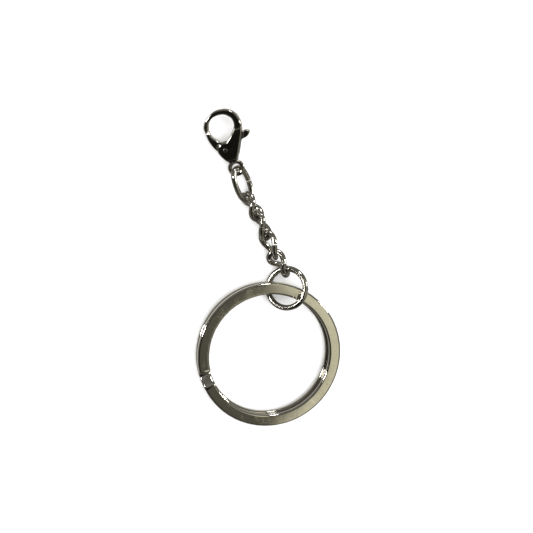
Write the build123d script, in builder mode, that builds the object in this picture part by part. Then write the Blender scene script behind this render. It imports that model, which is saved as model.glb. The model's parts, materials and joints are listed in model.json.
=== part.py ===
from build123d import *
from math import copysign, cos, degrees, pi, radians, sin
import os

# A key ring: a two-turn split ring, a jump ring round its band, a short curb chain and a
# lobster clasp.  The origin is the centre of the split ring, +Y runs along the chain
# towards the clasp and +Z is square to the table that the object lies on.

# ---- driving dimensions, mm and degrees ----

# split ring
BAND_WIDTH = 2.35  # radial width of the flat wire
BAND_HEIGHT = 1.40  # thickness of the flat wire, one turn
BAND_CORNER = 0.38  # rounding of the wire's long corners
TURN_GAP = 0.05  # the two turns lie this far apart
UPPER_RADIUS = 13.70  # middle of the wire, upper turn
LOWER_RADIUS = 13.50  # middle of the wire, lower turn
LOWER_SHIFT = (-0.22, 0.18)  # the lower turn's centre from the upper turn's
RING_TILT = 2.4  # its +Y side rests on the jump ring's wire
UPPER_END = 193.2  # where the upper turn's free end is, from +X
RAMP_FOOT = 195.5  # where the ramp comes down to the lower turn
CREASE = 206  # where the ramp comes up to the upper turn
LOWER_END = 210  # where the lower turn's free end is
END_BEVEL = 0.42  # how far its end face is trimmed all round
END_TAPER = 2.2  # degrees of the end that the bevel takes up

# round wire
JUMP_WIRE = 1.20
JUMP_RADIUS = 3.98  # middle of the jump ring's wire
JUMP_ANGLE = 74  # where it sits on the split ring's band
JUMP_REACH = 13.95  # its centre from the split ring's axis
JUMP_LEAN = 34.5  # its +X side stands over the band, its -X side passes under
JUMP_HEIGHT = 0.50
JUMP_SEAM = 0.06  # butt joint of the wire's two ends
SEAM_ANGLE = -68.6  # butt joint, from the outermost point of the jump ring
HOOK_ANGLE = 26  # where the chain hooks on, from the same point

# chain
LINK_WIRE = 1.15
LINK_LENGTH = 5.56  # of the middle line, end to end
LINK_HALF_WIDTH = 1.64
LINK_PLAY = 0.05  # clearance between one link's wire and the next
LINK_POINTS = 36
LINK_OVAL = 0.86  # 1 is an ellipse, less is a squarer oval
SEAM_CLOSED = 0.05
SEAM_OPEN = 0.55
LINK_LEANS = (34.5, 22.5, 22.6, 28.0)  # of the twisted links, from +Y towards -X
LINK_ROLLS = ((-125, -20), (-98, -41), (-144, -66), (-152, -55))  # of each link's two ends
LINK_HEIGHTS = (-0.21, -0.07, 0.11, -0.35)  # of their upper ends, from the ring's middle
HOOK_PLAY = 0.12  # more clearance where the chain crosses the jump ring's wire aslant
CONNECTOR_WIRE = 1.10
CONNECTOR_PLAY = 0.08  # more clearance where it crosses the last twisted link aslant
CONNECTOR_HALF_WIDTH = 1.98
CONNECTOR_ROLL = 36  # links roll about their long axes, +ve raises the -X side

# clasp, in its own plane: x across, y from its eye towards the top of the hook
CLASP_LEAN = 20.2  # its long axis from +Y, towards -X
CLASP_ROLL = -20  # its +X side stands off the table
EYE = (-6.10, 38.05, 0.12)
EYE_RADIUS = 1.27  # middle of the eye's rim
EYE_RIM = 0.84  # thickness of the rim
EYE_SLACK = 0.15  # the connector's wire from the eye's centre
CLASP_REACH = 7  # further than any part of the clasp from its middle
BODY_THICKNESS = 2.50
BODY_BOTTOM = 1.9
BODY_TOP = 7.3
HOOK_THICKNESS = 1.90
NECK_RIGHT = (0.72, 1.1)
NECK_LEFT = (-0.72, 1.1)
HOOK_TOP = (0.9, 12.08)
HOOK_SIDE = (4.15, 8.8)  # where the hook is widest
SLOT_WIDTH = 1.30
LEVER_WEB = 1.16  # the part of the lever inside the slot
PIVOT = (-0.65, 4.17)
BOSS_RADIUS = 1.56
SHOULDER_RADIUS = 1.66  # where the lever's gate takes its full thickness
HUB_RADIUS = 1.20
NOSE_RADIUS = 5.02  # the hook's nose, from the pivot
GATE_RADIUS = 4.95  # the gate's end, from the pivot
PIN_RADIUS = 0.40
PIN_RUNNING = 0.03  # radial clearance of the lever on the pin
PIN_HEAD = 0.06
SPRING_WIRE = 0.16
SPRING_RADIUS = 0.38
SPRING_TURNS = 3.5
SPRING_X = 1.05
SPRING_CLEAR = 0.02
SLOT_FLOOR = 2.55
TAB_LOW = (3.35, 5.15)  # the thumb tab starts just clear of the body's edge
TAB_HIGH = (3.98, 6.62)

os.makedirs("parts", exist_ok=True)


def around(centre, radius, angle):
    """The point at an angle on a circle in a sketch's plane."""
    return (centre[0] + radius * cos(radians(angle)), centre[1] + radius * sin(radians(angle)))


# ---- split ring: two flat turns and the ramp that joins them ----

ring_place = Location((0, 0, 0), (RING_TILT, 0, 0))
ring_normal = (ring_place * Plane.XY).z_dir
layer = (BAND_HEIGHT + TURN_GAP) / 2


def across_wire(angle, radius, height, centre=(0, 0)):
    """The plane square to the flat wire at an angle round the ring, its x pointing out."""
    x, y = around(centre, radius, angle)
    outward = around((0, 0), 1, angle)
    along = around((0, 0), 1, angle + 90)
    level = Plane(origin=(x, y, height), x_dir=(*outward, 0), z_dir=(*along, 0))
    return Plane(ring_place * level.location)


upper_axis = Axis((0, 0, 0), ring_normal)
lower_axis = Axis((ring_place * Location((*LOWER_SHIFT, 0))).position, ring_normal)
crease = across_wire(CREASE, UPPER_RADIUS, layer)
ramp_foot = across_wire(RAMP_FOOT, LOWER_RADIUS, -layer, LOWER_SHIFT)
bevel_start = across_wire(UPPER_END - END_TAPER, UPPER_RADIUS, layer)
upper_tip = across_wire(UPPER_END, UPPER_RADIUS, layer)
lower_end = across_wire(LOWER_END, LOWER_RADIUS, -layer, LOWER_SHIFT)


def wire_section(plane, trim=0):
    """The flat wire's section on a plane, trimmed all round where an end is bevelled."""
    with BuildSketch(plane) as section:
        RectangleRounded(BAND_WIDTH - 2 * trim, BAND_HEIGHT - trim, BAND_CORNER)
    return section.sketch


with BuildPart() as split_ring:
    revolve(wire_section(crease), axis=upper_axis, revolution_arc=360 - CREASE + UPPER_END - END_TAPER)
    revolve(wire_section(lower_end), axis=lower_axis, revolution_arc=360 - LOWER_END + RAMP_FOOT)
    flat_ends = split_ring.faces().filter_by(GeomType.PLANE)
    upper_face = flat_ends.sort_by_distance(bevel_start.origin)[0]
    crease_face = flat_ends.sort_by_distance(crease.origin)[0]
    foot_face = flat_ends.sort_by_distance(ramp_foot.origin)[0]
    loft([upper_face, wire_section(upper_tip, END_BEVEL)], ruled=True)
    loft([crease_face, foot_face], ruled=True)

# ---- jump ring: a round wire, its two ends butted together ----

jump_out = Vector(*around((0, 0), 1, JUMP_ANGLE), 0)
jump_side = Vector(*around((0, 0), 1, JUMP_ANGLE - 90), 0) * cos(radians(JUMP_LEAN))
jump_side += Vector(0, 0, sin(radians(JUMP_LEAN)))
jump_plane = Plane(
    origin=jump_out * JUMP_REACH + Vector(0, 0, JUMP_HEIGHT),
    x_dir=jump_out,
    z_dir=jump_side.cross(jump_out),
)


half_seam = degrees(JUMP_SEAM / JUMP_RADIUS) / 2
seam_x, seam_y = around((0, 0), 1, SEAM_ANGLE + half_seam)
seam_out = jump_plane.x_dir * seam_x + jump_plane.y_dir * seam_y
seam_plane = Plane(
    origin=jump_plane.origin + seam_out * JUMP_RADIUS,
    x_dir=seam_out,
    z_dir=jump_plane.z_dir.cross(seam_out),
)
with BuildPart() as jump_ring:
    with BuildSketch(seam_plane):
        Circle(JUMP_WIRE / 2)
    revolve(axis=Axis(jump_plane.origin, jump_plane.z_dir), revolution_arc=360 - 2 * half_seam)

# ---- chain: four twisted links and a plain oval connector, from the jump ring outwards ----

hook_x, hook_y = around((0, 0), 1, HOOK_ANGLE)
hook_out = jump_plane.x_dir * hook_x + jump_plane.y_dir * hook_y
hook_wire = jump_plane.origin + hook_out * JUMP_RADIUS
spacing = LINK_WIRE + LINK_PLAY  # between the middle lines of two wires that touch


def bearing(angle):
    """The level direction that leans from +Y towards -X by an angle."""
    return Vector(*around((0, 0), 1, 90 + angle), 0)


def link_path(start, end, half_width, roll_start, roll_end, seam, seam_gap):
    """The middle line of an oval link whose plane rolls from one end to the other."""
    axis = (end - start).normalized()
    level = axis.cross(Vector(0, 0, 1)).normalized()
    upright = level.cross(axis)
    half_length = (end - start).length / 2
    middle = (start + end) / 2
    gap = degrees(seam_gap / half_width) / 2
    points = []
    for k in range(LINK_POINTS + 1):
        turn = radians(seam + gap + (360 - 2 * gap) * k / LINK_POINTS)
        reach = copysign(abs(cos(turn)) ** LINK_OVAL, cos(turn))
        breadth = copysign(abs(sin(turn)) ** LINK_OVAL, sin(turn))
        blend = (1 + sin(reach * pi / 2)) / 2
        roll = radians(roll_start + (roll_end - roll_start) * blend)
        sideways = level * cos(roll) - upright * sin(roll)
        points.append(middle + axis * half_length * reach + sideways * half_width * breadth)
    return points


def round_link(points, wire):
    """A round wire that follows a link's middle line."""
    with BuildPart() as link:
        with BuildLine():
            middle_line = Spline(*points)
        with BuildSketch(Plane(origin=middle_line @ 0, z_dir=middle_line % 0)):
            Circle(wire / 2)
        sweep(path=middle_line)
    expected = pi * (wire / 2) ** 2 * middle_line.length
    print(f"link volume {link.part.volume:.3f}, section times length {expected:.3f}")
    return link


eye = Vector(*EYE)
starts = [hook_wire - bearing(LINK_LEANS[0]) * (spacing + HOOK_PLAY)]
ends = []
for lean, height in zip(LINK_LEANS, LINK_HEIGHTS):
    top = starts[-1] + bearing(lean) * LINK_LENGTH
    ends.append(Vector(top.X, top.Y, height))
    starts.append(ends[-1] - bearing(lean) * spacing)
starts[-1] -= bearing(lean) * CONNECTOR_PLAY
connector_top = eye - (eye - starts[-1]).normalized() * EYE_SLACK

links = []
for n, end in enumerate(ends):
    seam, gap = (0, SEAM_OPEN) if n == 3 else (90, SEAM_CLOSED)
    route = link_path(starts[n], end, LINK_HALF_WIDTH, *LINK_ROLLS[n], seam, gap)
    links.append(round_link(route, LINK_WIRE))
route = link_path(
    starts[-1], connector_top, CONNECTOR_HALF_WIDTH, CONNECTOR_ROLL, CONNECTOR_ROLL, 90, SEAM_CLOSED
)
links.append(round_link(route, CONNECTOR_WIRE))

# ---- lobster clasp ----

clasp_up = bearing(CLASP_LEAN)
clasp_across = bearing(CLASP_LEAN - 90) * cos(radians(CLASP_ROLL)) - Vector(0, 0, sin(radians(CLASP_ROLL)))
clasp_plane = Plane(origin=eye, x_dir=clasp_across, z_dir=clasp_across.cross(clasp_up))
side_plane = Plane(origin=eye, x_dir=clasp_up, z_dir=clasp_across)  # x up the clasp, y through it

boss_low, boss_left, boss_high = (around(PIVOT, BOSS_RADIUS, a) for a in (205, 135, 62))
nose_outer, nose_inner = (around(PIVOT, NOSE_RADIUS, a) for a in (121.8, 112))
gate_outer, gate_inner = (around(PIVOT, GATE_RADIUS, a) for a in (121.8, 112))
shoulder_outer, shoulder_mid, shoulder_inner = (around(PIVOT, SHOULDER_RADIUS, a) for a in (172, 135, 100))


with BuildSketch(side_plane) as rim_section:
    with Locations((EYE_RADIUS, 0)):
        Circle(EYE_RIM / 2)
with BuildSketch(clasp_plane.offset(-HOOK_THICKNESS / 2)) as clasp_outline:
    with BuildLine():
        Spline(nose_outer, (-3.15, 9.9), (-1.45, 11.6), HOOK_TOP, tangents=((0, 1), (1, 0)))
        Spline(HOOK_TOP, (3.3, 10.95), HOOK_SIDE, tangents=((1, 0), (0, -1)))
        Spline(HOOK_SIDE, (3.85, 6.9), (2.5, 4.2), NECK_RIGHT, tangents=((0, -1), (-0.5, -0.87)))
        Polyline(NECK_RIGHT, NECK_LEFT, boss_low)
        ThreePointArc(boss_low, boss_left, boss_high)
        Spline(boss_high, (1.7, 6.95), (2.75, 8.6), (2.2, 10.3), (0.2, 11.1), (-1.7, 10.45), nose_inner)
        Line(nose_inner, nose_outer)
    make_face()
with BuildSketch(clasp_plane.offset(-BODY_THICKNESS / 2)) as body_outline:  # the part round the slot
    add(clasp_outline.sketch_local)
    with Locations((0, BODY_BOTTOM)):
        Rectangle(12, BODY_TOP - BODY_BOTTOM, align=(Align.CENTER, Align.MIN), mode=Mode.INTERSECT)

with BuildPart() as clasp_body:
    extrude(clasp_outline.sketch, amount=HOOK_THICKNESS)
    extrude(body_outline.sketch, amount=BODY_THICKNESS)
    revolve(rim_section.sketch, axis=Axis(eye, clasp_plane.z_dir))
    with BuildSketch(clasp_plane.offset(-SLOT_WIDTH / 2)):
        with BuildLine():
            Polyline(
                (PIVOT[0], SLOT_FLOOR), (4, SLOT_FLOOR), (6, 4), (6, 7.2), (4.4, 6.85), (0.1, 5.35), PIVOT,
                close=True,
            )
        make_face()
        with Locations(PIVOT):
            Circle(SHOULDER_RADIUS)
    extrude(amount=SLOT_WIDTH, mode=Mode.SUBTRACT)
    with BuildSketch(clasp_plane.offset(-CLASP_REACH)):
        with Locations(PIVOT):
            Circle(PIN_RADIUS)
    extrude(amount=2 * CLASP_REACH, mode=Mode.SUBTRACT)

with BuildPart() as clasp_lever:
    with BuildSketch(clasp_plane.offset(-HOOK_THICKNESS / 2)):
        with BuildLine():  # the gate that closes the hook
            ThreePointArc(shoulder_outer, shoulder_mid, shoulder_inner)
            Spline(shoulder_inner, (-1.9, 6.75), (-2.45, 7.75), gate_inner)
            Line(gate_inner, gate_outer)
            Spline(gate_outer, (-3.22, 7.1), (-2.85, 5.6), shoulder_outer)
        make_face()
        with BuildLine():  # the thumb tab
            Polyline(TAB_LOW, TAB_HIGH)
            Spline(TAB_HIGH, (4.75, 6.5), (5.15, 6.1), (4.85, 5.6), (4.1, 5.2), TAB_LOW)
        make_face()
    extrude(amount=HOOK_THICKNESS)
    with BuildSketch(clasp_plane.offset(-LEVER_WEB / 2)):
        with Locations(PIVOT):
            Circle(HUB_RADIUS)
        with BuildLine():  # from the hub out to the gate
            Polyline(
                PIVOT, shoulder_outer, around(PIVOT, 2.2, 150), around(PIVOT, 2.2, 118), shoulder_inner,
                close=True,
            )
        make_face()
        with BuildLine():  # from the hub out to the tab
            Polyline((-0.4, 5.1), (3.5, 6.35), (4.4, 6.3), (3.9, 5.3), (3.1, 5.0), (0.1, 3.6), close=True)
        make_face()
    extrude(amount=LEVER_WEB)
    with BuildSketch(clasp_plane.offset(-CLASP_REACH)):
        with Locations(PIVOT):
            Circle(PIN_RADIUS + PIN_RUNNING)
    extrude(amount=2 * CLASP_REACH, mode=Mode.SUBTRACT)

pin_length = BODY_THICKNESS + 2 * PIN_HEAD
with BuildPart() as clasp_pin:
    with BuildSketch(clasp_plane.offset(-pin_length / 2)):
        with Locations(PIVOT):
            Circle(PIN_RADIUS)
    extrude(amount=pin_length)
    chamfer(clasp_pin.edges().filter_by(GeomType.CIRCLE), PIN_HEAD)

arm_over_spring = 3.6 + (5.0 - 3.6) * (SPRING_X - SPRING_RADIUS - 0.1) / 3.0
spring_height = arm_over_spring - SLOT_FLOOR - SPRING_WIRE - 2 * SPRING_CLEAR
spring_plane = Plane(
    origin=clasp_plane.from_local_coords((SPRING_X, SLOT_FLOOR + SPRING_WIRE / 2 + SPRING_CLEAR, 0)),
    x_dir=clasp_across,
    z_dir=clasp_up,
)
coil = spring_plane.location * Helix(spring_height / SPRING_TURNS, spring_height, SPRING_RADIUS)
with BuildPart() as clasp_spring:
    with BuildSketch(Plane(origin=coil @ 0, z_dir=coil % 0)):
        Circle(SPRING_WIRE / 2)
    sweep(path=coil, is_frenet=True)

# ---- the pieces ----

pieces = {
    "split_ring": split_ring,
    "jump_ring": jump_ring,
    "chain_link_1": links[0],
    "chain_link_2": links[1],
    "chain_link_3": links[2],
    "chain_link_4": links[3],
    "chain_link_5": links[4],
    "clasp_body": clasp_body,
    "clasp_lever": clasp_lever,
    "clasp_pin": clasp_pin,
    "clasp_spring": clasp_spring,
}
for name, piece in pieces.items():
    piece.part.label = name
    export_step(piece.part, f"parts/{name}.step")
    box = piece.part.bounding_box()
    print(name, len(piece.part.solids()), piece.part.is_valid, round(piece.part.volume, 2),
          [round(v, 2) for v in (*box.min, *box.max)])
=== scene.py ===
import json
import math

import bpy
from mathutils import Matrix, Vector


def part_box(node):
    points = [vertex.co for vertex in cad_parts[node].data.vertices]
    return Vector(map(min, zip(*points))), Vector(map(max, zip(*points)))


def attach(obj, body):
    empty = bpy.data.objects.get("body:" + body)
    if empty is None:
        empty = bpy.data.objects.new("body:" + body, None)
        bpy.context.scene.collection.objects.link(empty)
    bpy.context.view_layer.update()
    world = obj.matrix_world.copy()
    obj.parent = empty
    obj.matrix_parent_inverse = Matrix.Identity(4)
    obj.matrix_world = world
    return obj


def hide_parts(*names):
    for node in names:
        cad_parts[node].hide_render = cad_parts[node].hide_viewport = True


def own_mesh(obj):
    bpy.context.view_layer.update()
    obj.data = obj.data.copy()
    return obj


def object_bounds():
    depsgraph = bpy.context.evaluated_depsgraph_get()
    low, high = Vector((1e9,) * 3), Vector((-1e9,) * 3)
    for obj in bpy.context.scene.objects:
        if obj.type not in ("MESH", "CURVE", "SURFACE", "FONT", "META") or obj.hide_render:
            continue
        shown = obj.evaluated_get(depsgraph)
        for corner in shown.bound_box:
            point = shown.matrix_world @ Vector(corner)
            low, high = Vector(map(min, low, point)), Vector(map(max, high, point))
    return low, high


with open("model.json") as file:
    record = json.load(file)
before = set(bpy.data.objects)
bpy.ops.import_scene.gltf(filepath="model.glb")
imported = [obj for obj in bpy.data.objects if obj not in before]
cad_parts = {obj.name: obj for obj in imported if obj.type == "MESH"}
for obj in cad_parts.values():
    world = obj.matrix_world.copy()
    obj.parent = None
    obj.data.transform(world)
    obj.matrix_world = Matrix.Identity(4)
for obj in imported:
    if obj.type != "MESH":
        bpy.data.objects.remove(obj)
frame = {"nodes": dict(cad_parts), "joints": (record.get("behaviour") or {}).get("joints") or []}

bl_info = {
    "name": "Key ring builder",
    "version": (1, 0, 0),
    "blender": (4, 5, 0),
    "location": "3D View > Sidebar > Key Ring",
    "description": "Builds a split key ring with its jump ring, short curb chain and lobster clasp",
    "category": "Add Mesh",
}

MM = 0.001
BENCH = 1000.0  # pieces are modelled in millimetres, then brought to life size
SENSOR = 36.0  # width of the camera's sensor, in millimetres
CAD_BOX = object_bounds()

# The clasp's outlines, in millimetres in its own plane: x across, y from the eye to the top
# of the hook. A third value marks a corner.
PIVOT = (-0.65, 4.17)
HOOK_OUTER = (
    (-3.15, 9.9), (-1.45, 11.6), (0.9, 12.08), (3.3, 10.95), (4.15, 8.8), (3.85, 6.9),
    (2.5, 4.2),
)
GATE_SEAM = (121.8, 112)  # where gate and nose meet, outside and inside, round the pivot
NECK = ((0.72, 1.1, True), (-0.72, 1.1, True))
HOOK_INNER = ((1.7, 6.95), (2.75, 8.6), (2.2, 10.3), (0.2, 11.1), (-1.7, 10.45))
GATE_INNER = ((-1.9, 6.75), (-2.45, 7.75))
GATE_OUTER = ((-3.22, 7.1), (-2.85, 5.6))
TAB = (
    (3.35, 5.15, True), (3.98, 6.62, True), (4.45, 6.62), (4.9, 6.42), (5.15, 6.1), (4.95, 5.68),
    (4.5, 5.36), (4.1, 5.2),
)
TAB_ARM = (
    (-0.4, 5.1, True), (3.5, 6.35, True), (4.4, 6.3, True), (3.9, 5.3, True), (3.1, 5.0, True),
    (0.1, 3.6, True),
)
SLOT = (
    (-0.65, 2.55, True), (4, 2.55, True), (6, 4, True), (6, 7.2, True), (4.4, 6.85, True),
    (0.1, 5.35, True), (-0.65, 4.17, True),
)


# ---- sizes and colours that a user would change ----


def length(name, description, default):
    """A length in metres, shown in the scene's units."""
    return bpy.props.FloatProperty(
        name=name, description=description, default=default, unit="LENGTH", precision=6
    )


def angle(name, description, degrees):
    """An angle, given here in degrees."""
    return bpy.props.FloatProperty(
        name=name, description=description, default=math.radians(degrees), unit="ROTATION"
    )


def colour(name, description, default):
    """A colour of a surface or of a light."""
    return bpy.props.FloatVectorProperty(
        name=name, description=description, default=default, subtype="COLOR", size=3,
        min=0, max=1,
    )


def count(name, description, default):
    """A whole number of parts or divisions."""
    return bpy.props.IntProperty(name=name, description=description, default=default, min=1)


class SplitRingSizes(bpy.types.PropertyGroup):
    """The flat wire and its two turns."""

    band_width: length("Band width", "Radial width of the flat wire", 2.35 * MM)
    band_height: length("Band height", "Thickness of one turn of the flat wire", 1.40 * MM)
    band_corner: length("Corner", "Rounding of the flat wire's long corners", 0.38 * MM)
    turn_gap: length("Gap", "Space between the two turns", 0.05 * MM)
    upper_radius: length("Upper radius", "Middle of the wire in the upper turn", 13.70 * MM)
    lower_radius: length("Lower radius", "Middle of the wire in the lower turn", 13.50 * MM)
    lower_shift: bpy.props.FloatVectorProperty(
        name="Lower shift", description="Centre of the lower turn from the upper turn's",
        default=(-0.22 * MM, 0.18 * MM), size=2, unit="LENGTH", precision=6,
    )
    lower_end: angle("Lower end", "Where the lower turn's free end is", 210)
    ramp_foot: angle("Ramp foot", "Where the ramp leaves the lower turn", 195.5)
    crease: angle("Crease", "Where the ramp reaches the upper turn", 206)
    upper_end: angle("Upper end", "Where the upper turn's free end is", 193.2)
    end_taper: angle("End taper", "How much of the free end its bevel takes up", 2.2)
    corner_steps: count("Corner steps", "Divisions of each rounded corner", 6)
    turn_steps: count("Turn steps", "Divisions of one turn", 288)


class RoundWireSizes(bpy.types.PropertyGroup):
    """The round wire of the jump ring and of the chain."""

    jump_wire: length("Jump wire", "Thickness of the jump ring's wire", 1.20 * MM)
    jump_radius: length("Jump radius", "Middle of the jump ring's wire", 3.98 * MM)
    jump_seam: length("Jump seam", "Gap where the jump ring's ends are butted", 0.06 * MM)
    seam_angle: angle("Seam angle", "The butt joint from the jump ring's outermost point", -68.6)
    hook_angle: angle("Hook angle", "Where the chain hooks on, from the same point", 26)
    link_wire: length("Link wire", "Thickness of the curb links' wire", 1.15 * MM)
    link_half_width: length("Half width", "Half the width of a curb link's middle line", 1.64 * MM)
    link_play: length("Play", "Clearance between two links' wires", 0.05 * MM)
    hook_play: length("Hook play", "More clearance at the jump ring", 0.12 * MM)
    connector_wire: length("Connector wire", "Thickness of the oval connector's wire", 1.10 * MM)
    connector_half_width: length("Connector half width", "Half its middle line's width", 1.98 * MM)
    connector_play: length("Connector play", "More clearance at the last curb link", 0.08 * MM)
    eye_slack: length("Eye slack", "The connector's wire from the clasp eye's centre", 0.15 * MM)
    seam_closed: length("Closed seam", "Gap where a link's ends meet", 0.05 * MM)
    seam_open: length("Open seam", "Gap where the last curb link stands open", 0.55 * MM)
    lower_rolls: bpy.props.FloatVectorProperty(
        name="Lower rolls", description="Twist of each curb link's lower end",
        default=[math.radians(a) for a in (-125, -98, -144, -152)], size=4, unit="ROTATION",
    )
    upper_rolls: bpy.props.FloatVectorProperty(
        name="Upper rolls", description="Twist of each curb link's upper end",
        default=[math.radians(a) for a in (-20, -41, -66, -55)], size=4, unit="ROTATION",
    )
    connector_roll: angle("Connector roll", "Turn of the oval connector about its length", 36)
    roundness: bpy.props.FloatProperty(
        name="Roundness", description="1 is an ellipse, less is a squarer oval", default=0.86
    )
    link_points: count("Link points", "Points along a link's middle line", 48)


class ClaspSizes(bpy.types.PropertyGroup):
    """The lobster clasp, its lever, pin and spring."""

    eye_radius: length("Eye radius", "Middle of the eye's rim", 1.27 * MM)
    eye_rim: length("Eye rim", "Thickness of the eye's rim", 0.84 * MM)
    hook_thickness: length("Hook thickness", "Through the hook and the lever's gate", 1.90 * MM)
    body_thickness: length("Body thickness", "Through the body round the slot", 2.50 * MM)
    hook_rounding: length("Hook rounding", "Rounding of the hook's long edges", 0.34 * MM)
    slot_width: length("Slot width", "The slot that the lever sits in", 1.30 * MM)
    lever_web: length("Lever web", "Thickness of the lever inside the slot", 1.16 * MM)
    boss_radius: length("Boss radius", "The body round the pivot", 1.56 * MM)
    shoulder_radius: length("Shoulder radius", "Where the gate takes its thickness", 1.66 * MM)
    hub_radius: length("Hub radius", "The lever's hub", 1.20 * MM)
    nose_radius: length("Nose radius", "The hook's nose from the pivot", 5.02 * MM)
    gate_radius: length("Gate radius", "The gate's end from the pivot", 4.95 * MM)
    pin_radius: length("Pin radius", "The pivot pin", 0.40 * MM)
    pin_running: length("Running fit", "Clearance of the lever on the pin", 0.03 * MM)
    pin_head: length("Pin head", "How far the pin stands out of the body", 0.06 * MM)
    spring_wire: length("Spring wire", "Thickness of the spring's wire", 0.16 * MM)
    spring_radius: length("Spring radius", "Middle of the spring's wire", 0.38 * MM)
    spring_turns: bpy.props.FloatProperty(
        name="Spring turns", description="Turns of the coil spring", default=3.5
    )
    grain: length("Grain", "Size of the mesh's faces on the cast pieces", 0.06 * MM)


class PlatingColours(bpy.types.PropertyGroup):
    """The finishes; the chain nickel is the nickel made darker as painted shade."""

    nickel: colour("Nickel", "Polished nickel plating", (0.68, 0.66, 0.62))
    nickel_warm: colour(
        "Warm nickel", "Where the plating has yellowed a little", (0.64, 0.61, 0.54)
    )
    # painted shade: the ring's nickel made darker for the jump ring, chain, clasp and lever
    shaded_nickel: colour("Shaded chain nickel", "Plating of the wire and the clasp", (0.58, 0.56, 0.52))
    steel: colour("Steel", "Spring and pin", (0.50, 0.50, 0.50))


class StageSettings(bpy.types.PropertyGroup):
    """The floor, the lights and the camera."""

    view_direction: bpy.props.FloatVectorProperty(
        name="View direction", description="From the key ring towards the camera",
        default=(-0.224, 0.129, 0.966), subtype="DIRECTION", size=3, precision=4,
    )
    view_offset: bpy.props.FloatVectorProperty(
        name="View offset", description="Where the camera aims, from the middle of the key ring",
        default=(-0.51 * MM, 0.61 * MM, 1.45 * MM), size=3, unit="LENGTH", precision=6,
    )
    view_roll: angle("Roll", "Turn of the camera about its line of sight", 0.77)
    view_distance: length("Distance", "From the key ring to the camera", 0.275)
    view_width: length("View width", "What the picture's width takes in", 0.1072)
    floor_white: colour("Floor", "The pale floor", (0.90, 0.90, 0.90))
    cream_card: colour("Cream card", "The light side of the room", (0.80, 0.77, 0.58))
    dark_room: colour("Dark room", "The dark side of the room", (0.105, 0.102, 0.080))
    wall_light: colour("Wall light", "The far walls of the room", (0.25, 0.245, 0.22))
    board_light: colour(
        "Board light", "The board as the polished walls mirror it", (0.66, 0.65, 0.60)
    )
    key_power: bpy.props.FloatProperty(
        name="Key power", description="Of the softbox over the floor", default=9.0, unit="POWER"
    )


# ---- shader maths ----


class Signal:
    """A shader socket that takes part in ordinary arithmetic; each operation adds its node."""

    def __init__(self, graph, socket):
        self.graph = graph
        self.socket = socket

    def math(self, operation, *values):
        return self.graph.node("ShaderNodeMath", {"operation": operation}, dict(enumerate(values)))

    def __add__(self, other):
        return self.math("ADD", self, other)

    def __sub__(self, other):
        return self.math("SUBTRACT", self, other)

    def __rsub__(self, other):
        return self.math("SUBTRACT", other, self)

    def __mul__(self, other):
        return self.math("MULTIPLY", self, other)

    def __abs__(self):
        return self.math("ABSOLUTE", self)

    __radd__ = __add__
    __rmul__ = __mul__

    def step(self, low, high):
        """0 below low and 1 above high, with a soft change between."""
        return self.graph.node(
            "ShaderNodeMapRange", {"interpolation_type": "SMOOTHSTEP"},
            {"Value": self, "From Min": low, "From Max": high},
        )

    def band(self, low, high, soft):
        """1 between low and high, 0 outside."""
        return self.step(low - soft, low + soft) * (1 - self.step(high - soft, high + soft))


class Graph:
    """A node tree that is filled from expressions."""

    def __init__(self, tree):
        self.tree = tree
        tree.nodes.clear()

    def node(self, kind, settings=None, inputs=None, output=0):
        made = self.tree.nodes.new(kind)
        for name, value in (settings or {}).items():
            setattr(made, name, value)
        for name, value in (inputs or {}).items():
            if isinstance(value, Signal):
                self.tree.links.new(value.socket, made.inputs[name])
            else:
                made.inputs[name].default_value = value
        return Signal(self, made.outputs[output]) if made.outputs else made

    def blend(self, first, second, factor):
        """A colour between two colours."""
        first, second = (c if isinstance(c, Signal) else (*c, 1) for c in (first, second))
        return self.node(
            "ShaderNodeMix", {"data_type": "RGBA"}, {0: factor, 6: first, 7: second}, output=2
        )

    def noise(self, place, scale, detail=3.0, stretch=(1, 1, 1), turn=(0, 0, 0)):
        """Soft noise; a stretch other than 1 draws it out into grain."""
        moved = self.node(
            "ShaderNodeMapping", None, {"Vector": place, "Rotation": turn, "Scale": stretch}
        )
        return self.node(
            "ShaderNodeTexNoise", None, {"Vector": moved, "Scale": scale, "Detail": detail}
        )


def plating(name, metal, warm, roughness, scratching, wear):
    """Polished plating: clouded tint, fine scratches both ways, pits, and brighter worn edges."""
    material = bpy.data.materials.new(name)
    material.use_nodes = True
    graph = Graph(material.node_tree)
    place = graph.node("ShaderNodeTexCoord", output="Object")
    clouds = graph.noise(place, 110, 3).step(0.25, 0.75)
    patches = graph.noise(place, 420, 2).step(0.48, 0.66)
    hairs = graph.noise(place, 170, 2, (1, 40, 1), (0.2, 0.1, 0.65))
    hairs_across = graph.noise(place, 190, 2, (44, 1, 1), (0.1, -0.2, 0.3))
    lines = 1 - abs(hairs - 0.5).step(0.0, 0.016)
    lines += 1 - abs(hairs_across - 0.5).step(0.0, 0.012)
    scratches = lines * patches * scratching
    pits = graph.noise(place, 5200, 2).step(0.60, 0.74)
    edges = graph.node("ShaderNodeNewGeometry", output="Pointiness").step(0.52, 0.60)
    tint = graph.blend(metal, warm, clouds * 0.6)
    tint = graph.blend(tint, (0.86, 0.84, 0.80), edges * wear)
    tint = graph.blend(tint, (0.22, 0.21, 0.19), pits * 0.35 + scratches * 0.22)
    rough = clouds * 0.05 + scratches * 0.12 + pits * 0.06 + roughness
    relief = graph.node(
        "ShaderNodeBump", None,
        {"Strength": 0.16, "Distance": 0.00001, "Height": 1 - pits * 0.4 - scratches * 0.5},
    )
    shader = graph.node(
        "ShaderNodeBsdfPrincipled", None,
        {"Base Color": tint, "Metallic": 1.0, "Roughness": rough, "Normal": relief},
    )
    graph.node("ShaderNodeOutputMaterial", None, {"Surface": shader})
    return material


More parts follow.
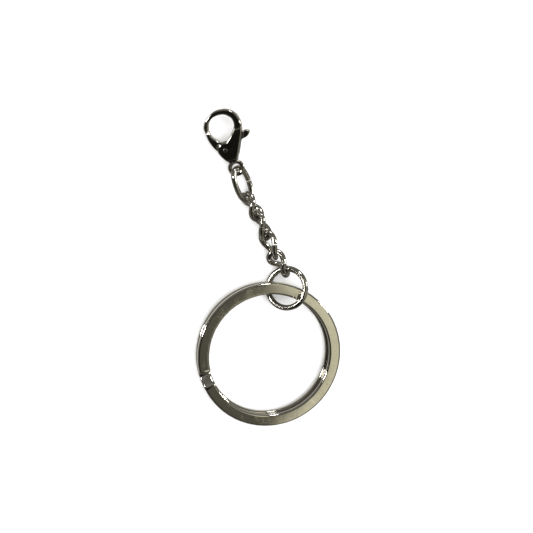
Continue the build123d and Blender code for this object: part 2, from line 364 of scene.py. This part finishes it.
def floor_paper(white):
    """Matt white board with a faint tooth."""
    material = bpy.data.materials.new("floor_board")
    material.use_nodes = True
    graph = Graph(material.node_tree)
    place = graph.node("ShaderNodeTexCoord", output="Object")
    tooth = graph.noise(place, 900, 3)
    tone = graph.blend(white, [0.97 * c for c in white], tooth)
    relief = graph.node(
        "ShaderNodeBump", None, {"Strength": 0.05, "Distance": 0.0001, "Height": tooth}
    )
    shader = graph.node(
        "ShaderNodeBsdfPrincipled", None,
        {"Base Color": tone, "Roughness": 0.9, "Specular IOR Level": 0.0, "Normal": relief},
    )
    graph.node("ShaderNodeOutputMaterial", None, {"Surface": shader})
    return material


# ---- bench work ----


def joint(name):
    """A joint of the frame."""
    return next(j for j in frame["joints"] if j["name"] == name)


def joint_place(name):
    """Where a joint is, in millimetres."""
    return Vector(joint(name)["pos_m"]) * BENCH


def joint_axis(name):
    """The direction of a joint's axis."""
    return Vector(joint(name)["axis"]).normalized()


def turned(centre, radius, at):
    """The point on a circle in the plane, at an angle."""
    return Vector((centre[0] + radius * math.cos(at), centre[1] + radius * math.sin(at), 0))


def about_pivot(radius, degrees):
    """The point on a circle round the lever's pivot, in the clasp's own plane."""
    return turned(PIVOT, radius, math.radians(degrees))


def pick(piece):
    """Makes a piece the only selected object and the active one."""
    bpy.ops.object.select_all(action="DESELECT")
    piece.select_set(True)
    bpy.context.view_layer.objects.active = piece


def settle(piece):
    """Puts a piece's place, turn and size into its mesh."""
    pick(piece)
    bpy.ops.object.transform_apply(location=True, rotation=True, scale=True)


def modify(piece, kind, **settings):
    """Adds a modifier and applies it."""
    pick(piece)
    bpy.ops.object.modifier_add(type=kind)
    modifier = piece.modifiers[-1]
    for name, value in settings.items():
        setattr(modifier, name, value)
    bpy.ops.object.modifier_apply(modifier=modifier.name)


def tidy(piece, weld=0.0005):
    """Welds a mesh's doubles and turns its faces outwards."""
    pick(piece)
    bpy.ops.object.mode_set(mode="EDIT")
    bpy.ops.mesh.select_all(action="SELECT")
    bpy.ops.mesh.remove_doubles(threshold=weld)
    bpy.ops.mesh.normals_make_consistent(inside=False)
    bpy.ops.object.mode_set(mode="OBJECT")


def hand_over(piece, name, body, material, nodes, smooth=40):
    """Brings a finished piece to life size and hangs it on its body in place of its CAD nodes."""
    piece.name = name
    piece.scale = (MM, MM, MM)
    settle(piece)
    bpy.ops.object.shade_smooth_by_angle(angle=math.radians(smooth))
    piece.data.materials.clear()
    piece.data.materials.append(material)
    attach(piece, body)
    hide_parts(*nodes)


def drawn_wire(points, wire, resolution=4):
    """A round wire along a smooth open line."""
    bpy.ops.object.select_all(action="DESELECT")
    bpy.ops.curve.primitive_bezier_circle_add()
    piece = bpy.context.object
    spline = piece.data.splines[0]
    spline.use_cyclic_u = False
    spline.bezier_points.add(len(points) - len(spline.bezier_points))
    for knot, point in zip(spline.bezier_points, points):
        knot.handle_left_type = knot.handle_right_type = "AUTO"
        knot.co = point
    piece.data.dimensions = "3D"
    piece.data.twist_mode = "MINIMUM"
    piece.data.bevel_depth = wire / 2
    piece.data.bevel_resolution = 8
    piece.data.resolution_u = resolution
    piece.data.use_fill_caps = True
    pick(piece)
    bpy.ops.object.convert(target="MESH")
    tidy(piece)
    return piece


def rounded_plate(outline, thickness, rounding):
    """A flat plate with rounded edges, from an outline of smooth points and corners."""
    bpy.ops.object.select_all(action="DESELECT")
    bpy.ops.curve.primitive_bezier_circle_add()
    piece = bpy.context.object
    spline = piece.data.splines[0]
    spline.bezier_points.add(len(outline) - len(spline.bezier_points))
    for knot, point in zip(spline.bezier_points, outline):
        kind = "VECTOR" if len(point) == 3 and point[2] is True else "AUTO"
        knot.handle_left_type = knot.handle_right_type = kind
        knot.co = (point[0], point[1], 0)
    piece.data.dimensions = "2D"
    piece.data.fill_mode = "BOTH"
    piece.data.resolution_u = 10
    piece.data.bevel_depth = rounding
    piece.data.bevel_resolution = 4
    piece.data.offset = -rounding
    piece.data.extrude = thickness / 2 - rounding
    pick(piece)
    bpy.ops.object.convert(target="MESH")
    tidy(piece)
    return piece


def disc(centre, radius, thickness, vertices=64):
    """A plain disc in the clasp's plane, to join to a piece or to cut one with."""
    bpy.ops.object.select_all(action="DESELECT")
    bpy.ops.mesh.primitive_cylinder_add(
        vertices=vertices, radius=radius, depth=thickness, location=(centre[0], centre[1], 0)
    )
    settle(bpy.context.object)
    return bpy.context.object


def cast(parts, grain, smoothing):
    """Melts parts into one casting with soft edges."""
    bpy.ops.object.select_all(action="DESELECT")
    for part in parts:
        part.select_set(True)
    bpy.context.view_layer.objects.active = parts[0]
    bpy.ops.object.join()
    piece = bpy.context.object
    modify(piece, "REMESH", mode="VOXEL", voxel_size=grain, adaptivity=0)
    modify(piece, "SMOOTH", factor=0.5, iterations=smoothing)
    return piece


def cut(piece, cutter):
    """Takes one shape out of another."""
    modify(piece, "BOOLEAN", operation="DIFFERENCE", solver="EXACT", object=cutter)
    bpy.data.objects.remove(cutter)


def clasp_place():
    """The clasp's plane in the frame: its x runs across, its y to the top of the hook."""
    eye, normal = joint_place("clasp_swing"), joint_axis("clasp_swing")
    to_pivot = joint_place("lever_press") - eye
    lean = math.atan2(PIVOT[0], PIVOT[1])
    up = Matrix.Rotation(lean, 3, normal) @ to_pivot.normalized()
    up = (up - normal * up.dot(normal)).normalized()
    across = up.cross(normal)
    place = Matrix((across, up, normal)).transposed().to_4x4()
    place.translation = eye
    return place


def set_in_clasp(piece):
    """Moves a piece from the clasp's own plane to its place."""
    piece.matrix_world = clasp_place() @ piece.matrix_world
    settle(piece)


# ---- the pieces ----


class KEYRING_OT_split_ring(bpy.types.Operator):
    """Winds the flat wire of the split ring: lower turn, ramp, upper turn and bevelled end"""

    bl_idname = "keyring.split_ring"
    bl_label = "Split ring"

    def execute(self, context):
        sizes = context.scene.split_ring_sizes
        width, height = sizes.band_width * BENCH, sizes.band_height * BENCH
        lower, upper = sizes.lower_radius * BENCH, sizes.upper_radius * BENCH
        layer = (height + sizes.turn_gap * BENCH) / 2
        shift = Vector((*sizes.lower_shift, 0)) * BENCH
        start = turned(shift, lower, sizes.lower_end) + Vector((0, 0, -layer))
        bpy.ops.object.select_all(action="DESELECT")
        bpy.ops.mesh.primitive_plane_add(
            size=1, location=start, rotation=(math.pi / 2, 0, sizes.lower_end)
        )
        band = context.object
        band.scale = (width, height, 1)
        settle(band)
        bpy.ops.object.mode_set(mode="EDIT")
        bpy.ops.mesh.select_all(action="SELECT")
        bpy.ops.mesh.bevel(
            offset=sizes.band_corner * BENCH, segments=sizes.corner_steps, affect="VERTICES"
        )
        self.wind(sizes, shift, math.tau - sizes.lower_end + sizes.ramp_foot)
        self.climb(sizes, shift, lower, upper, layer)
        self.wind(sizes, Vector(), math.tau - sizes.crease + sizes.upper_end - sizes.end_taper)
        for share, size in ((0.5, 0.93), (0.5, 0.72)):
            self.step_on(sizes.end_taper * share, Vector(), Vector())
            here = self.selected_middle(band)
            bpy.ops.transform.resize(value=(size, size, size), center_override=here)
        bpy.ops.object.mode_set(mode="OBJECT")
        tidy(band)
        normal = joint_axis("jump_ring_orbit")
        band.rotation_euler = (math.atan2(-normal.y, normal.z), 0, 0)
        settle(band)
        colours = context.scene.plating_colours
        finish = plating("polished_nickel", colours.nickel, colours.nickel_warm, 0.045, 0.8, 0.35)
        hand_over(band, "ring_band", "ring", finish, ["split_ring"], 50)
        modify(band, "WEIGHTED_NORMAL", weight=80, keep_sharp=True)
        return {"FINISHED"}

    def wind(self, sizes, centre, arc):
        """Carries the end of the wire round a centre."""
        steps = max(1, round(sizes.turn_steps * arc / math.tau))
        bpy.ops.mesh.spin(steps=steps, angle=arc, center=centre, axis=(0, 0, -1))

    def step_on(self, arc, centre, move):
        """Extrudes the end of the wire one step, turned round a centre and moved."""
        bpy.ops.mesh.extrude_region_move()
        bpy.ops.transform.rotate(value=-arc, orient_axis="Z", center_override=centre)
        bpy.ops.transform.translate(value=move)

    def climb(self, sizes, shift, lower, upper, layer):
        """Takes the end of the wire up the ramp from the lower turn to the upper one."""
        steps = 12
        here = turned(shift, lower, sizes.ramp_foot) - Vector((0, 0, layer))
        arc = (sizes.crease - sizes.ramp_foot) / steps
        for k in range(1, steps + 1):
            share = k / steps
            soft = share * share * (3 - 2 * share)
            at = sizes.ramp_foot + arc * k
            there = turned(shift, lower, at).lerp(turned((0, 0), upper, at), soft)
            there.z = layer * (2 * soft - 1)
            self.step_on(arc, here, there - here)
            here = there

    def selected_middle(self, piece):
        """The middle of the selected vertices."""
        bpy.ops.object.mode_set(mode="OBJECT")
        chosen = [v.co.copy() for v in piece.data.vertices if v.select]
        bpy.ops.object.mode_set(mode="EDIT")
        return sum(chosen, Vector()) / len(chosen)


class KEYRING_OT_jump_ring(bpy.types.Operator):
    """Bends the jump ring's round wire and butts its two ends together"""

    bl_idname = "keyring.jump_ring"
    bl_label = "Jump ring"

    def execute(self, context):
        sizes = context.scene.round_wire_sizes
        radius, wire = sizes.jump_radius * BENCH, sizes.jump_wire * BENCH
        low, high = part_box("jump_ring")
        centre = (low + high) / 2 * BENCH
        hooked = joint_place("chain_link_1_swing") - centre
        tangent = joint_axis("chain_link_1_swing")
        normal = hooked.cross(tangent).normalized()
        if normal.z < 0:
            normal.negate()
        outward = Matrix.Rotation(-sizes.hook_angle, 3, normal) @ hooked.normalized()
        half_gap = sizes.jump_seam / sizes.jump_radius / 2
        first = Matrix.Rotation(sizes.seam_angle + half_gap, 3, normal) @ outward
        along = normal.cross(first).normalized()
        place = Matrix((first, along.cross(first), along)).transposed()
        bpy.ops.object.select_all(action="DESELECT")
        bpy.ops.mesh.primitive_circle_add(
            vertices=40, radius=wire / 2, fill_type="NGON",
            location=centre + first * radius, rotation=place.to_euler(),
        )
        ring = context.object
        settle(ring)
        bpy.ops.object.mode_set(mode="EDIT")
        bpy.ops.mesh.select_all(action="SELECT")
        bpy.ops.mesh.spin(steps=160, angle=-(math.tau - 2 * half_gap), center=centre, axis=-normal)
        bpy.ops.object.mode_set(mode="OBJECT")
        tidy(ring)
        self.ease_ends(ring)
        colours = context.scene.plating_colours
        # base colour: the nickel made darker as painted shade
        finish = plating("wire_plating", colours.shaded_nickel, colours.nickel_warm, 0.05, 0.9, 0.25)
        hand_over(ring, "jump_wire", "jump", finish, ["jump_ring"])
        return {"FINISHED"}

    def ease_ends(self, ring):
        """Rounds off the cut ends of the wire."""
        for face in ring.data.polygons:
            face.select = len(face.vertices) > 4
        pick(ring)
        bpy.ops.object.mode_set(mode="EDIT")
        bpy.ops.mesh.select_mode(type="FACE")
        bpy.ops.mesh.bevel(offset=0.05, segments=2, affect="EDGES")
        bpy.ops.object.mode_set(mode="OBJECT")


class KEYRING_OT_chain(bpy.types.Operator):
    """Bends the four twisted curb links and the plain oval connector"""

    bl_idname = "keyring.chain"
    bl_label = "Chain"

    def execute(self, context):
        sizes = context.scene.round_wire_sizes
        wire = sizes.link_wire * BENCH
        spacing = wire + sizes.link_play * BENCH
        joints = [joint_place(f"chain_link_{n}_swing") for n in range(1, 6)]
        eye = joint_place("clasp_swing")
        first_lean = (joints[1] - joints[0]) * Vector((1, 1, 0))
        starts = [joints[0] - first_lean.normalized() * (spacing + sizes.hook_play * BENCH)]
        starts += joints[1:]
        colours = context.scene.plating_colours
        # base colour: the nickel made darker as painted shade
        finish = plating("chain_plating", colours.shaded_nickel, colours.nickel_warm, 0.07, 1.0, 0.3)
        for n in range(4):
            play = sizes.connector_play * BENCH if n == 3 else 0
            lean = self.lean_of(n, starts)
            end = starts[n + 1] + lean * (spacing + play)
            rolls = (sizes.lower_rolls[n], sizes.upper_rolls[n])
            seam, gap = (0, sizes.seam_open) if n == 3 else (math.pi / 2, sizes.seam_closed)
            line = self.middle_line(
                sizes, starts[n], end, sizes.link_half_width * BENCH, rolls, seam, gap * BENCH
            )
            link = drawn_wire(line, wire)
            hand_over(
                link, f"curb_link_{n + 1}", f"link_{n + 1}", finish,
                [f"chain_link_{n + 1}"],
            )
        top = eye - (eye - starts[4]).normalized() * sizes.eye_slack * BENCH
        rolls = (sizes.connector_roll, sizes.connector_roll)
        line = self.middle_line(
            sizes, starts[4], top, sizes.connector_half_width * BENCH, rolls, math.pi / 2,
            sizes.seam_closed * BENCH,
        )
        link = drawn_wire(line, sizes.connector_wire * BENCH)
        hand_over(link, "oval_connector", "link_5", finish, ["chain_link_5"])
        return {"FINISHED"}

    def lean_of(self, n, starts):
        """The level direction of a curb link, which runs through the next link's start."""
        along = (starts[n + 1] - starts[n]) * Vector((1, 1, 0))
        return along.normalized()

    def middle_line(self, sizes, start, end, half_width, rolls, seam, seam_gap):
        """The middle line of an oval link whose plane rolls from one end to the other."""
        axis = (end - start).normalized()
        level = axis.cross(Vector((0, 0, 1))).normalized()
        upright = level.cross(axis)
        middle, half_length = (start + end) / 2, (end - start).length / 2
        gap = seam_gap / half_width / 2
        points = []
        for k in range(sizes.link_points + 1):
            turn = seam + gap + (math.tau - 2 * gap) * k / sizes.link_points
            reach = math.copysign(abs(math.cos(turn)) ** sizes.roundness, math.cos(turn))
            breadth = math.copysign(abs(math.sin(turn)) ** sizes.roundness, math.sin(turn))
            share = (1 + math.sin(reach * math.pi / 2)) / 2
            roll = rolls[0] + (rolls[1] - rolls[0]) * share
            sideways = level * math.cos(roll) - upright * math.sin(roll)
            points.append(middle + axis * half_length * reach + sideways * half_width * breadth)
        return points


class KEYRING_OT_clasp(bpy.types.Operator):
    """Casts the clasp's hook with its eye, then mills its slot and drills its pin hole"""

    bl_idname = "keyring.clasp"
    bl_label = "Clasp"

    def execute(self, context):
        sizes = context.scene.clasp_sizes
        rounding = sizes.hook_rounding * BENCH
        hook, body = sizes.hook_thickness * BENCH, sizes.body_thickness * BENCH
        boss, nose = sizes.boss_radius * BENCH, sizes.nose_radius * BENCH
        boss_edge = [about_pivot(boss, a) for a in (205, 176, 148, 119, 90, 62)]
        nose_outer, nose_inner = (about_pivot(nose, a) for a in GATE_SEAM)
        outline = [(nose_outer.x, nose_outer.y, True), *HOOK_OUTER, *NECK]
        outline += [(p.x, p.y) for p in boss_edge[:-1]]
        outline += [(boss_edge[-1].x, boss_edge[-1].y, True), *HOOK_INNER]
        outline += [(nose_inner.x, nose_inner.y, True)]
        plate = rounded_plate(outline, hook, rounding)
        swell = rounded_plate(outline, body, rounding)
        self.keep_between(swell, 1.9, 7.3)
        bpy.ops.object.select_all(action="DESELECT")
        bpy.ops.mesh.primitive_torus_add(
            major_radius=sizes.eye_radius * BENCH, minor_radius=sizes.eye_rim * BENCH / 2,
            major_segments=96, minor_segments=32,
        )
        eye = context.object
        casting = cast([plate, swell, eye], sizes.grain * BENCH, 7)
        slot = sizes.slot_width * BENCH
        cut(casting, rounded_plate(SLOT, slot, 0.001))
        cut(casting, disc(PIVOT, sizes.shoulder_radius * BENCH, slot))
        cut(casting, disc(PIVOT, sizes.pin_radius * BENCH, 2 * body, 40))
        set_in_clasp(casting)
        colours = context.scene.plating_colours
        # base colour: the nickel made darker as painted shade
        finish = plating("clasp_plating", colours.shaded_nickel, colours.nickel_warm, 0.08, 1.0, 0.3)
        hand_over(casting, "clasp_hook", "clasp", finish, ["clasp_body"])
        return {"FINISHED"}

    def keep_between(self, piece, low, high):
        """Cuts a plate off square below and above, and closes it again."""
        pick(piece)
        bpy.ops.object.mode_set(mode="EDIT")
        for height, upwards in ((low, False), (high, True)):
            bpy.ops.mesh.select_all(action="SELECT")
            bpy.ops.mesh.bisect(
                plane_co=(0, height, 0), plane_no=(0, 1, 0), use_fill=True,
                clear_inner=not upwards, clear_outer=upwards,
            )
        bpy.ops.object.mode_set(mode="OBJECT")


class KEYRING_OT_lever(bpy.types.Operator):
    """Casts the spring lever: its gate, web, hub and thumb tab"""

    bl_idname = "keyring.lever"
    bl_label = "Lever"

    def execute(self, context):
        sizes = context.scene.clasp_sizes
        hook, web = sizes.hook_thickness * BENCH, sizes.lever_web * BENCH
        shoulder, gate = sizes.shoulder_radius * BENCH, sizes.gate_radius * BENCH
        heel = [about_pivot(shoulder, a) for a in (172, 154, 136, 118, 100)]
        tip_outer, tip_inner = (about_pivot(gate, a) for a in GATE_SEAM)
        outline = [(heel[0].x, heel[0].y, True)] + [(p.x, p.y) for p in heel[1:-1]]
        outline += [(heel[-1].x, heel[-1].y, True), *GATE_INNER]
        outline += [(tip.x, tip.y, True) for tip in (tip_inner, tip_outer)] + [*GATE_OUTER]
        finer = 0.8  # the lever's edges and mesh, against the hook's
        rounding = sizes.hook_rounding * BENCH * finer
        web_rounding = 0.03
        reach = 2.2  # how far the arm runs under the gate
        sides = ((shoulder, 172), (reach, 150), (reach, 118), (shoulder, 100))
        arm = [(*PIVOT, True)] + [(*about_pivot(*side).xy, True) for side in sides]
        parts = [
            rounded_plate(outline, hook, rounding),
            rounded_plate(TAB, hook, rounding),
            rounded_plate(arm, web, web_rounding),
            rounded_plate(TAB_ARM, web, web_rounding),
            disc(PIVOT, sizes.hub_radius * BENCH, web),
        ]
        lever = cast(parts, sizes.grain * BENCH * finer, 4)
        hole = (sizes.pin_radius + sizes.pin_running) * BENCH
        cut(lever, disc(PIVOT, hole, 4 * hook, 40))
        set_in_clasp(lever)
        colours = context.scene.plating_colours
        # base colour: the nickel made darker as painted shade
        finish = plating("lever_plating", colours.shaded_nickel, colours.nickel_warm, 0.08, 1.0, 0.3)
        hand_over(lever, "clasp_gate", "lever", finish, ["clasp_lever"])
        return {"FINISHED"}


class KEYRING_OT_pin_and_spring(bpy.types.Operator):
    """Makes the riveted pivot pin and the coil spring behind the lever's arm"""

    bl_idname = "keyring.pin_and_spring"
    bl_label = "Pin and spring"

    def execute(self, context):
        sizes = context.scene.clasp_sizes
        colours = context.scene.plating_colours
        head = sizes.pin_head * BENCH
        pin = disc(PIVOT, sizes.pin_radius * BENCH, sizes.body_thickness * BENCH + 2 * head, 48)
        for face in pin.data.polygons:
            face.select = abs(face.normal.z) > 0.9
        bpy.ops.object.mode_set(mode="EDIT")
        bpy.ops.mesh.select_mode(type="FACE")
        bpy.ops.mesh.bevel(offset=head * 1.6, segments=4, affect="EDGES")
        bpy.ops.object.mode_set(mode="OBJECT")
        set_in_clasp(pin)
        steel = plating("pin_steel", colours.steel, colours.nickel_warm, 0.20, 1.0, 0.2)
        hand_over(pin, "pivot_pin", "clasp", steel, ["clasp_pin"])

        wire, radius = sizes.spring_wire * BENCH, sizes.spring_radius * BENCH
        place = clasp_place().inverted()
        solid = frame["nodes"]["clasp_spring"].data
        corners = [place @ (v.co * BENCH) for v in solid.vertices]
        breadths, heights = [c.x for c in corners], [c.y for c in corners]
        low, high = min(heights), max(heights)
        middle = (min(breadths) + max(breadths)) / 2
        steps = 12
        total = round(sizes.spring_turns * steps)
        rise = high - low - wire
        coil = [
            Vector((
                middle + radius * math.cos(math.tau * k / steps),
                low + wire / 2 + rise * k / total,
                -radius * math.sin(math.tau * k / steps),
            ))
            for k in range(total + 1)
        ]
        spring = drawn_wire(coil, wire, 3)
        set_in_clasp(spring)
        steel = plating("spring_steel", colours.steel, colours.nickel_warm, 0.28, 1.0, 0.1)
        hand_over(spring, "gate_spring", "clasp", steel, ["clasp_spring"])
        foot = clasp_place() @ Vector((middle, low, 0)) * MM
        upward = (clasp_place().to_3x3() @ Vector((0, 1, 0))).normalized()
        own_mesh(spring)
        return {"FINISHED"}


class KEYRING_OT_stage(bpy.types.Operator):
    """Lays the pale floor and sets up the room, the soft lights and the camera"""

    bl_idname = "keyring.stage"
    bl_label = "Stage"

    def execute(self, context):
        settings = context.scene.stage_settings
        low, high = CAD_BOX
        bpy.ops.object.select_all(action="DESELECT")
        bpy.ops.mesh.primitive_grid_add(
            x_subdivisions=8, y_subdivisions=8, size=8, location=(0, 0, low.z - 0.00002)
        )
        floor = context.object
        floor.name = "floor"
        settle(floor)
        floor.data.materials.append(floor_paper(settings.floor_white))
        floor.visible_glossy = False  # the polished wires mirror the dark room instead
        middle = (low + high) / 2
        self.room(context.scene, settings)
        for name, offset, size, power, mirrored in (
            ("overhead", (0, 0, 0.60), 0.9, settings.key_power, False),
            ("left_strip", (-0.50, 0.10, 0.30), 0.10, 1.0, True),
            ("right_strip", (0.52, 0.16, 0.24), 0.11, 1.0, True),
            ("far_strip", (0.10, 0.55, 0.30), 0.10, 0.5, True),
        ):
            self.softbox(name, middle + Vector(offset), middle, size, power, mirrored)
        self.camera(context.scene, settings, middle)
        return {"FINISHED"}

    def room(self, scene, settings):
        """A dark room with a cream card on its right, as the polished faces see it."""
        world = bpy.data.worlds.new("room")
        scene.world = world
        world.use_nodes = True
        graph = Graph(world.node_tree)
        towards = graph.node("ShaderNodeTexCoord", output="Generated")
        split = self.parts(graph, towards)
        mottle = graph.node(
            "ShaderNodeTexNoise", None, {"Vector": towards, "Scale": 7.0, "Detail": 2.0}
        )
        dark, wall = settings.dark_room, settings.wall_light
        lit_side = graph.blend([0.55 * c for c in dark], dark, mottle.step(0.36, 0.60))
        sideways = split[2].step(0.20, 0.45)
        shade = [0.10 * c for c in dark]
        for light, share in (
            # the walls all round, the far wall and the right one
            (wall, split[2].band(-0.60, 0.42, 0.10) * (0.35 + 0.65 * mottle.step(0.40, 0.60))),
            ([0.7 * c for c in wall], split[1].step(0.12, 0.40) * sideways * 0.8),
            (wall, split[0].step(0.42, 0.60) * sideways * 0.8),
            # the ceiling: its far part, the lit side next to the middle, and the cream card
            (
                [0.8 * c for c in wall],
                split[1].band(0.24, 0.70, 0.06) * split[2].step(0.55, 0.70) * 0.8,
            ),
            (lit_side, split[0].band(0.08, 0.37, 0.05) * split[2].step(0.60, 0.75)),
            (settings.cream_card, split[0].band(0.233, 0.37, 0.012) * split[2].step(0.70, 0.80)),
            # the board, as walls that stand on it mirror it
            (settings.board_light, 1 - split[2].step(-0.90, -0.72)),
        ):
            shade = graph.blend(shade, light, share)
        background = graph.node("ShaderNodeBackground", None, {"Color": shade, "Strength": 1.0})
        graph.node("ShaderNodeOutputWorld", None, {"Surface": background})
        scene.view_settings.view_transform = "Standard"

    def parts(self, graph, vector):
        """The x, y and z of a direction."""
        split = graph.tree.nodes.new("ShaderNodeSeparateXYZ")
        graph.tree.links.new(vector.socket, split.inputs[0])
        return [Signal(graph, out) for out in split.outputs]

    def softbox(self, name, location, target, size, power, seen):
        """A square softbox that faces the key ring."""
        bpy.ops.object.light_add(type="AREA", location=location)
        light = bpy.context.object
        light.name = name
        light.data.size = size
        light.data.energy = power
        light.rotation_euler = (target - location).to_track_quat("-Z", "Y").to_euler()
        light.visible_glossy = seen

    def camera(self, scene, settings, middle):
        """A camera that looks down on the key ring from its upper left."""
        towards = Vector(settings.view_direction).normalized()
        aim = Vector((middle.x, middle.y, 0)) + Vector(settings.view_offset)
        bpy.ops.object.camera_add(location=aim + towards * settings.view_distance)
        camera = bpy.context.object
        camera.name = "camera"
        right = Vector((0, 1, 0)).cross(towards).normalized()
        right = Matrix.Rotation(-settings.view_roll, 3, towards) @ right
        up = towards.cross(right)
        camera.rotation_euler = Matrix((right, up, towards)).transposed().to_euler()
        camera.data.sensor_width = SENSOR
        camera.data.lens = SENSOR * settings.view_distance / settings.view_width
        camera.data.clip_start, camera.data.clip_end = 0.01, 10
        scene.camera = camera


class KEYRING_PT_builder(bpy.types.Panel):
    """The key ring's operators, in the order of building"""

    bl_idname = "KEYRING_PT_builder"
    bl_label = "Key ring"
    bl_space_type = "VIEW_3D"
    bl_region_type = "UI"
    bl_category = "Key Ring"

    def draw(self, context):
        for operator in OPERATORS:
            self.layout.operator(operator.bl_idname)


SETTINGS = {
    "split_ring_sizes": SplitRingSizes,
    "round_wire_sizes": RoundWireSizes,
    "clasp_sizes": ClaspSizes,
    "plating_colours": PlatingColours,
    "stage_settings": StageSettings,
}
OPERATORS = (
    KEYRING_OT_stage,
    KEYRING_OT_split_ring,
    KEYRING_OT_jump_ring,
    KEYRING_OT_chain,
    KEYRING_OT_clasp,
    KEYRING_OT_lever,
    KEYRING_OT_pin_and_spring,
)


def register():
    for group in (*SETTINGS.values(), *OPERATORS, KEYRING_PT_builder):
        bpy.utils.register_class(group)
    for name, group in SETTINGS.items():
        setattr(bpy.types.Scene, name, bpy.props.PointerProperty(type=group))


def unregister():
    for name in SETTINGS:
        delattr(bpy.types.Scene, name)
    for group in reversed((*SETTINGS.values(), *OPERATORS, KEYRING_PT_builder)):
        bpy.utils.unregister_class(group)


def main():
    register()
    for operator in OPERATORS:
        section, action = operator.bl_idname.split(".")
        getattr(getattr(bpy.ops, section), action)()


if __name__ == "__main__":
    main()
